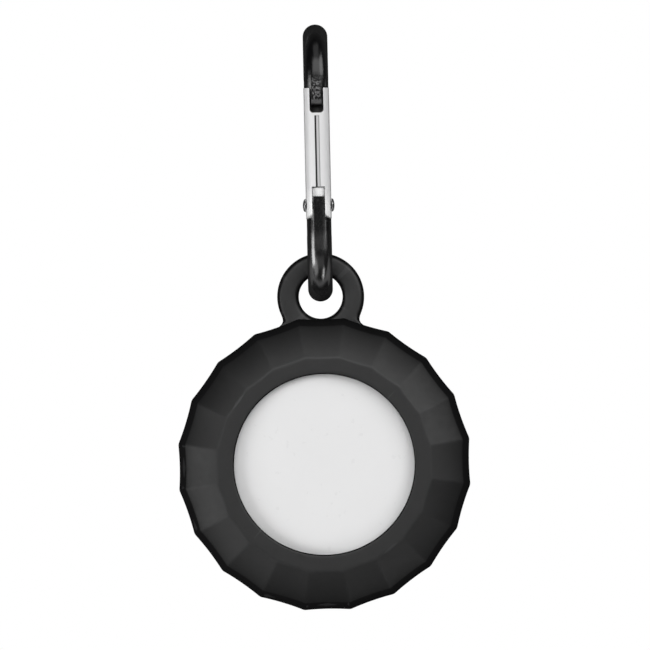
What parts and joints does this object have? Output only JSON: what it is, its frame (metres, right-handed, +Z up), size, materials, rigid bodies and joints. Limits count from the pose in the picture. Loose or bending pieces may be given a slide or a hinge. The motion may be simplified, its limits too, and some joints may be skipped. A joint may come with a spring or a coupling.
{
  "type": "tracker tag holder",
  "caption": "Soft faceted round case with a tracker tag inside, hanging by its ring from a small snap hook with a sprung gate.",
  "frame": {"origin": "where the hook hangs: the inner surface at the top of its bend, in the middle of the rod", "axes": "+X to the right and +Z up in the picture; +Y goes away from the camera, through the case from its front to its back"},
  "size_m": [0.0442, 0.0198, 0.0886],
  "materials": {
    "hook_black": "glossy black coating on bent aluminium rod",
    "gate_metal": "bare rolled sheet, satin",
    "rivet_metal": "dark blackened steel",
    "spring_steel": "drawn spring wire",
    "follower_metal": "bright turned metal",
    "case_silicone": "soft-touch matt silicone",
    "tag_white": "smooth white plastic",
    "frame_white": "satin white plastic",
    "cover_steel": "polished steel",
    "cell_steel": "nickel-plated steel",
    "contact_gold": "gold-plated spring leaf",
    "board_green": "solder mask",
    "chip_black": "moulded chip housings",
    "can_metal": "tinned sheet",
    "carrier_plastic": "dark moulded plastic",
    "flex_copper": "amber film over copper",
    "magnet_nickel": "nickel-plated",
    "yoke_steel": "zinc-plated steel",
    "coil_copper": "enamelled copper wire"
  },
  "bodies": {
    "hook": {"hook_body": "hook_black", "gate_rivet": "rivet_metal"},
    "gate": {"gate": "gate_metal", "gate_spring": "spring_steel"},
    "follower": {"gate_follower": "follower_metal"},
    "case": {"holder_case": "case_silicone", "tag_front_shell": "tag_white", "tag_rear_frame": "frame_white", "coin_cell": "cell_steel", "contact_negative": "contact_gold", "contact_positive": "contact_gold", "circuit_board": "board_green", "board_chips": "chip_black", "shield_can": "can_metal", "antenna_carrier": "carrier_plastic", "antenna_flex": "flex_copper", "speaker_magnet": "magnet_nickel", "magnet_yoke": "yoke_steel", "voice_coil": "coil_copper"},
    "cover": {"battery_cover": "cover_steel"}
  },
  "joints": [
    {"name": "gate_swing", "type": "hinge", "parent": "hook", "child": "gate", "pos_m": [0, -0.006, -0.02372], "axis": [-1, 0, 0], "range_deg": [0, 38], "stiffness_Nm_per_rad": 0.003, "springref_deg": -28.65},
    {"name": "follower_slide", "type": "slide", "parent": "gate", "child": "follower", "axis": [0, 0, 1], "range_m": [0, 0.0007], "deforming": ["gate_spring"]},
    {"name": "case_swing", "type": "hinge", "parent": "hook", "child": "case", "pos_m": [0, 0, -0.03752], "axis": [0, 1, 0], "range_deg": [-100, 100]},
    {"name": "cover_turn", "type": "hinge", "parent": "case", "child": "cover", "pos_m": [0, 0, -0.06289], "axis": [0, 1, 0], "range_deg": [0, 20]}
  ],
  "couplings": [
    {"joint": "follower_slide", "follows": "gate_swing", "m_per_rad": 0.00105}
  ]
}
